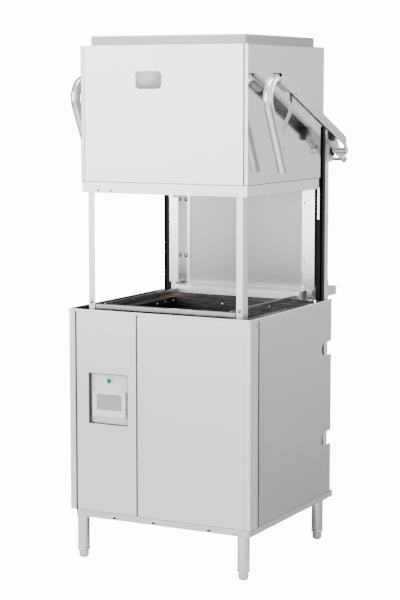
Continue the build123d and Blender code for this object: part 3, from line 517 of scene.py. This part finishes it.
# %% Finishes on the working pieces
FINISH_OF_SLOT = {
    "satin_steel": steel_bright, "tank_steel": steel_tank, "brushed_frame": steel_frame,
    "polished_tube": steel_bright, "zinc_steel": steel_bright, "spring_steel": steel_spring,
    "cast_pump": cast_body, "grey_paint": grey_enamel, "brass_fitting": brass_plain,
    "black_plastic": black_runner, "recess_plastic": tray_plastic, "white_plastic": bezel_plastic,
    "screen_glass": screen_plastic, "green_button": button_lens, "black_rubber": black_rubber,
}
OWN_FINISH = {"legs": steel_leg, "guide_strip": steel_bright, "lever_grips": steel_polish}
for node, thing in frame["nodes"].items():
    if node in DRESSED:
        continue
    finish = OWN_FINISH.get(node, FINISH_OF_SLOT[SLOT_OF[node]])
    if node.startswith("foot_"):
        finish = steel_leg
    thing.data.materials.clear()
    thing.data.materials.append(finish)

# %% [markdown]
# ## Small pieces
# What follows is the hardware that a workshop adds last. Each piece is placed from the corners
# of the part that carries it, so it stays right if that part changes size.

# %% Places and a rounded strip
def as_vectors(box):
    """The low and the high corner of a box, as vectors."""
    return [Vector(corner) for corner in box]


rim_low, rim_high = as_vectors(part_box("tank_rim"))
MIDDLE_Y = (rim_low.y + rim_high.y) / 2


def place(work, name, material, body, slot, smooth=True):
    """Finish a small piece and hang it on its body; the slot is not used."""
    piece = finish_mesh(work, name, material, smooth)
    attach(piece, body)
    return piece


def add_strip(work, low, high, radius):
    """A bar with rounded edges between two corners."""
    low, high = Vector(low), Vector(high)
    here = Matrix.Translation((low + high) / 2) @ Matrix.Diagonal((*(high - low), 1))
    box = bmesh.ops.create_cube(work, size=1.0, matrix=here)
    edges = list({edge for vert in box["verts"] for edge in vert.link_edges})
    bmesh.ops.bevel(work, geom=edges, offset=radius, affect="EDGES", segments=2, profile=0.5,
                    material=-1)


print("middle of the cabinet", round(MIDDLE_Y, 4))

# %% [markdown]
# The panels don't touch each other. Each gap holds a black edging, set back a little, which
# stands in for the shade inside the gap and draws the dark line between two sheets as painted
# shade. A strip with rounded edges is enough, because only its front shows.

# %% Painted shade strips between the panels
front_low, front_high = as_vectors(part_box("front_panel"))
control_low, control_high = as_vectors(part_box("control_panel"))
side_low, side_high = as_vectors(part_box("right_side_panel"))
SET_BACK = 0.9 * MM
AIR = 0.1 * MM                  # between the edging and each panel
EDGE_ROUNDING = 0.3 * MM

# black strips set into the gaps: painted shade between the panels
edging = bmesh.new()
for left, right in ((control_low.x - 2.0 * MM, control_low.x), (control_high.x, front_low.x)):
    add_strip(edging, (left + AIR, front_low.y + SET_BACK, front_low.z),
              (right - AIR, front_low.y + 9.0 * MM, front_high.z), EDGE_ROUNDING)
add_strip(edging, (side_high.x - 8.0 * MM, side_low.y - 2.0 * MM + AIR, side_low.z),
          (side_high.x - SET_BACK, side_low.y - AIR, side_high.z), EDGE_ROUNDING)
place(edging, "gap_shade_strips", black_rubber, "cabinet", "black_rubber")

# %% [markdown]
# The window in the control panel is lined with a dark edging too, painted shade on the recess's
# inner walls. It is made from one flat rectangle: inset it, delete the middle, and extrude what is left
# back into the recess.

# %% Painted shade lining of the control window
recess_low, recess_high = as_vectors(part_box("control_recess"))
LINING = 1.2 * MM
WALL = 2.0 * MM
FRONT_OF_RECESS = 1.9 * MM      # how far the lining stands in front of the recess's rim

middle = (recess_low + recess_high) / 2
middle.y = recess_low.y - FRONT_OF_RECESS
wide, _, high = recess_high - recess_low - Vector((1, 1, 1)) * (2 * WALL + AIR)
here = Matrix.Translation(middle) @ Matrix.Rotation(math.radians(90.0), 4, "X")
lining = bmesh.new()
bmesh.ops.create_grid(lining, x_segments=1, y_segments=1, size=0.5,
                      matrix=here @ Matrix.Diagonal((wide, high, 1, 1)))
inner = lining.faces[:]
bmesh.ops.inset_region(lining, faces=inner, thickness=LINING, use_boundary=True,
                       use_even_offset=True)
bmesh.ops.delete(lining, geom=inner, context="FACES")
pulled = bmesh.ops.extrude_face_region(lining, geom=lining.faces[:])
moved = [item for item in pulled["geom"] if isinstance(item, bmesh.types.BMVert)]
bmesh.ops.translate(lining, verts=moved, vec=(0.0, recess_high.y - WALL - middle.y, 0.0))
bmesh.ops.recalc_face_normals(lining, faces=lining.faces)
# the dark lining paints the shade on the recess's inner walls
place(lining, "window_shade_lining", shade_lining_plastic, "cabinet", "black_rubber", False)

# %% [markdown]
# The green lens sits in a white collar with a thin gap. A ring is a small closed outline
# turned once round the button's axis with the spin operator.

# %% Collar of the button
FINE_WELD = 0.01 * MM


def add_ring(work, centre, axis, across, section, segments=32):
    """A ring: a closed outline of (out, along) points spun once round the axis."""
    axis = Vector(axis).normalized()
    across = Vector(across).normalized()
    verts = [work.verts.new(Vector(centre) + across * out + axis * along) for out, along in section]
    edges = [work.edges.new((verts[i - 1], verts[i])) for i in range(len(verts))]
    before = set(work.faces)
    bmesh.ops.spin(work, geom=verts + edges, cent=centre, axis=axis, angle=2 * math.pi,
                   steps=segments, use_merge=True, use_duplicate=False)
    bmesh.ops.remove_doubles(work, verts=work.verts, dist=FINE_WELD)
    new_faces = [face for face in work.faces if face not in before]
    bmesh.ops.recalc_face_normals(work, faces=new_faces)


button_low, button_high = as_vectors(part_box("power_button"))
button_axis = (button_low + button_high) / 2
button_axis.y = button_low.y
button_radius = (button_high.x - button_low.x) / 2
# the outline in millimetres: out from the lens's edge, and back from the lens's face
COLLAR = ((0.6, 8.0), (0.6, 2.5), (1.4, 1.6), (3.2, 2.2), (4.0, 4.0), (4.0, 8.0))
collar = bmesh.new()
add_ring(collar, button_axis, (0, 1, 0), (1, 0, 0),
         [(button_radius + out * MM, back * MM) for out, back in COLLAR])
place(collar, "button_collar", bezel_plastic, "cabinet", "white_plastic")

# %% [markdown]
# Dome-headed screws hold the wall and the tank. Each head is the upper part of a flattened
# ball, standing on a dark sealing washer. The bisect operator cuts the ball. The hood passes
# close in front of the header band, so that is held by flat black rivets instead.

# %% Screws and washers
DOME_HEIGHT = 0.55              # of the dome's radius


def add_dome(work, centre, facing, radius):
    """A flattened half ball on a face; facing is the way that it looks."""
    turn_to = Vector(facing).to_track_quat("Z", "Y").to_matrix().to_4x4()
    here = Matrix.Translation(centre) @ turn_to @ Matrix.Diagonal((1, 1, DOME_HEIGHT, 1))
    ball = bmesh.ops.create_uvsphere(work, u_segments=20, v_segments=10, radius=radius, matrix=here)
    geom = ball["verts"] + list({edge for vert in ball["verts"] for edge in vert.link_edges})
    geom += list({face for vert in ball["verts"] for face in vert.link_faces})
    cut = bmesh.ops.bisect_plane(work, geom=geom, plane_co=centre, plane_no=facing,
                                 clear_inner=True)
    rim = [item for item in cut["geom_cut"] if isinstance(item, bmesh.types.BMEdge)]
    bmesh.ops.holes_fill(work, edges=rim)


TO_THE_FRONT = Vector((0, -1, 0))
TO_THE_RIGHT = Vector((1, 0, 0))
wall_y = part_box("back_wall")[0][1] - 2.0 * MM
band_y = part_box("header_band")[0][1]
post_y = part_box("front_posts")[0][1]
tank_back = MIDDLE_Y + 256.0 * MM
tank_left = -250.0 * MM
CORNER_INSET = 14.0 * MM
# each screw: where it stands, which way it faces, and the radius of its hole in millimetres
SCREWS = [(x * MM, tank_back, 0.832, TO_THE_FRONT, 6.0) for x in (-56, 131)]
SCREWS += [(tank_left, MIDDLE_Y + y * MM, 0.836, TO_THE_RIGHT, 4.5) for y in (124, 184, 243)]
SCREWS += [(x * MM, wall_y, z * MM, TO_THE_FRONT, 5.5) for x in (-240, 240) for z in (993, 1198)]
SCREWS += [(side_high.x, side_low.y - CORNER_INSET, side_high.z - CORNER_INSET, TO_THE_RIGHT, 4.0)]
SCREWS += [(x * MM, post_y, 0.884, TO_THE_FRONT, 4.0) for x in (-279, 279)]
HEAD_PART = 0.8                 # the dome against the hole
WASHER_PART = 1.4               # the washer against the hole

domes = bmesh.new()
washers = bmesh.new()
for x, y, z, facing, radius in SCREWS:
    seat = Vector((x, y, z))
    outer = radius * WASHER_PART
    outline = ((0.5, 0.0), (outer, 0.0), (outer, 0.5), (outer - 0.5, 0.9), (0.5, 0.9))
    add_ring(washers, seat, facing, facing.orthogonal(),
             [(out * MM, along * MM) for out, along in outline], 20)
    add_dome(domes, seat + facing * 0.8 * MM, facing, HEAD_PART * radius * MM)
for x in (-246, -198):
    head = Matrix.Translation((x * MM, band_y - 0.2 * MM, 1.262))
    head = head @ Matrix.Rotation(math.radians(90.0), 4, "X")
    bmesh.ops.create_cone(washers, cap_ends=True, segments=20, radius1=4.0 * MM,
                          radius2=3.7 * MM, depth=0.5 * MM, matrix=head)
dome_heads = place(domes, "screw_heads", steel_bright, "cabinet", "zinc_steel")
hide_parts("panel_screws")
place(washers, "screw_washers", black_rubber, "cabinet", "black_rubber")
print("screws", len(SCREWS))

# %% [markdown]
# The lift springs are coils of 4.8 mm wire. A coil is one small circle carried round the axis
# and a little further up at each step, which is what the spin operator does when it is given a
# shift. The lower hook is at the eye bolt and the upper one at the hanger bar.

# %% Coil springs
WIRE = 2.4 * MM                 # the wire's radius
COIL_RADIUS = 17.4 * MM
COIL_PITCH = 6.0 * MM
STEPS = 16                      # in one turn
SPRING_X = 250.0 * MM
END_ROOM = 14.0 * MM            # left for the hook at each end
EYE_Z = 942.0 * MM
EYE_HOOK = 6.9 * MM
BAR_HOOK = 9.0 * MM
bar_low, bar_high = as_vectors(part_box("spring_hanger_bar"))
spring_low, spring_high = as_vectors(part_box("lift_springs"))
BAR_CENTRE = (bar_low + bar_high) / 2


def add_wire(work, start, across, centre, axis, angle, steps, shift):
    """Carry a small circle of wire round an axis, and along it by the shift at each step."""
    turn_to = Vector(across).to_track_quat("Z", "Y").to_matrix().to_4x4()
    circle = bmesh.ops.create_circle(work, segments=8, radius=WIRE,
                                     matrix=Matrix.Translation(start) @ turn_to)
    edges = list({edge for vert in circle["verts"] for edge in vert.link_edges})
    bmesh.ops.spin(work, geom=circle["verts"] + edges, cent=centre, axis=axis, angle=angle,
                   steps=steps, dvec=shift, use_duplicate=False)


def add_rod(work, start, end):
    """A straight piece of wire between two points."""
    turn_to = (end - start).to_track_quat("Z", "Y").to_matrix().to_4x4()
    bmesh.ops.create_cone(work, cap_ends=True, segments=8, radius1=WIRE, radius2=WIRE,
                          depth=(end - start).length,
                          matrix=Matrix.Translation((start + end) / 2) @ turn_to)


def coil_spring(side, name):
    """One spring with a hook at each end; side is 1 on the right and -1 on the left."""
    work = bmesh.new()
    x = side * SPRING_X
    y = BAR_CENTRE.y
    bottom = spring_low.z + END_ROOM
    turns = int((spring_high.z - END_ROOM - bottom) / COIL_PITCH)
    top = bottom + turns * COIL_PITCH
    add_wire(work, (x + COIL_RADIUS, y, bottom), (0, 1, 0), (x, y, bottom), (0, 0, 1),
             2 * math.pi * turns, STEPS * turns, (0, 0, COIL_PITCH / STEPS))
    for hook_z, reach, radius in ((EYE_Z, bottom, EYE_HOOK), (BAR_CENTRE.z, top, BAR_HOOK)):
        way = 1 if reach > hook_z else -1
        add_wire(work, (x, y, hook_z - way * radius), (0, 1, 0), (x, y, hook_z), (1, 0, 0),
                 2 * math.pi, 24, (0, 0, 0))
        add_rod(work, Vector((x, y, hook_z + way * radius)), Vector((x + COIL_RADIUS, y, reach)))
    bmesh.ops.remove_doubles(work, verts=work.verts, dist=FINE_WELD)
    bmesh.ops.holes_fill(work, edges=[edge for edge in work.edges if edge.is_boundary])
    bmesh.ops.recalc_face_normals(work, faces=work.faces)
    spring = finish_mesh(work, name, steel_spring, True)
    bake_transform(spring)
    print(name, "turns", turns)
    return spring


right_spring = coil_spring(1, "right_lift_spring")
coil_spring(-1, "left_lift_spring")
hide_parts("lift_springs")

# %% [markdown]
# The hood's front carries a small blank plate with rounded corners. A cube is flattened, the
# four edges that run from front to back get a wide bevel, and the front edges a fine one.

# %% Blank plate
PLATE = Vector((96.0, 1.6, 58.0)) * MM
PLATE_CORNER = 14.0 * MM
PLATE_EDGE = 0.5 * MM
hood_low = Vector(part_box("hood_front")[0])
plate_at = Vector((-52.0 * MM, hood_low.y - PLATE.y / 2, 1.628))
plate = bmesh.new()
bmesh.ops.create_cube(plate, size=1.0,
                      matrix=Matrix.Translation(plate_at) @ Matrix.Diagonal((*PLATE, 1)))
corners = [edge for edge in plate.edges
           if abs((edge.verts[0].co - edge.verts[1].co).normalized().y) > 0.9]
bmesh.ops.bevel(plate, geom=corners, offset=PLATE_CORNER, affect="EDGES", segments=6, profile=0.5,
                material=-1)
rim = [edge for edge in plate.edges if all(vert.co.y < plate_at.y for vert in edge.verts)]
bmesh.ops.bevel(plate, geom=rim, offset=PLATE_EDGE, affect="EDGES", segments=2, profile=0.5,
                material=-1)
place(plate, "blank_plate", steel_crown, "hood", "satin_steel")

# %% [markdown]
# Every wash and rinse arm throws water from a row of jets. Each jet is a short tapered
# nozzle, and rides on its own arm so that it turns with it. The upper rinse arm passes close
# under the upper wash arm, so the jets there are only low rims.

# %% Jets on the arms
JET_REACH = (84, 134, 184, 206)     # from the arm's axis, in millimetres
JET_HEIGHT = 3.0 * MM
LOW_RIM = 0.6 * MM
SUNK = 0.45                         # of its height: a jet's middle above the arm's face
ALONG = {"lower_wash_arm": "X", "upper_wash_arm": "X", "lower_rinse_arm": "Y", "upper_rinse_arm": "Y"}
for arm, axis in ALONG.items():
    arm_low, arm_high = as_vectors(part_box(arm))
    centre = (arm_low + arm_high) / 2
    upward = arm.startswith("lower")
    tall = LOW_RIM if arm == "upper_wash_arm" else JET_HEIGHT
    centre.z = arm_high.z + tall * SUNK if upward else arm_low.z - tall * SUNK
    outward = Vector((1, 0, 0)) if axis == "X" else Vector((0, 1, 0))
    turn_over = Matrix.Rotation(0.0 if upward else math.pi, 4, "X")
    jets = bmesh.new()
    for reach in JET_REACH:
        for side in (-1, 1):
            here = Matrix.Translation(centre + outward * side * reach * MM)
            bmesh.ops.create_cone(jets, cap_ends=True, segments=12, radius1=5.0 * MM,
                                  radius2=3.0 * MM, depth=tall, matrix=here @ turn_over)
    place(jets, arm + "_jets", steel_bright, arm, "satin_steel")

# %% [markdown]
# Each leg ends in a rolled collar, and the levelling foot turns inside it.

# %% Leg collars
LEG_END_Z = 29.5 * MM
# the outline in millimetres: out from the leg's axis, and up from its lower end
ROLLED_END = ((20.55, 0.0), (21.6, 0.6), (21.9, 3.0), (21.6, 5.4), (20.55, 6.0))
collars = bmesh.new()
for corner in ("front_left", "front_right", "back_left", "back_right"):
    foot_low, foot_high = as_vectors(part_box("foot_" + corner))
    centre = (foot_low + foot_high) / 2
    centre.z = LEG_END_Z
    add_ring(collars, centre, (0, 0, 1), (1, 0, 0),
             [(out * MM, up * MM) for out, up in ROLLED_END], 40)
place(collars, "leg_collars", steel_leg, "cabinet", "polished_tube")
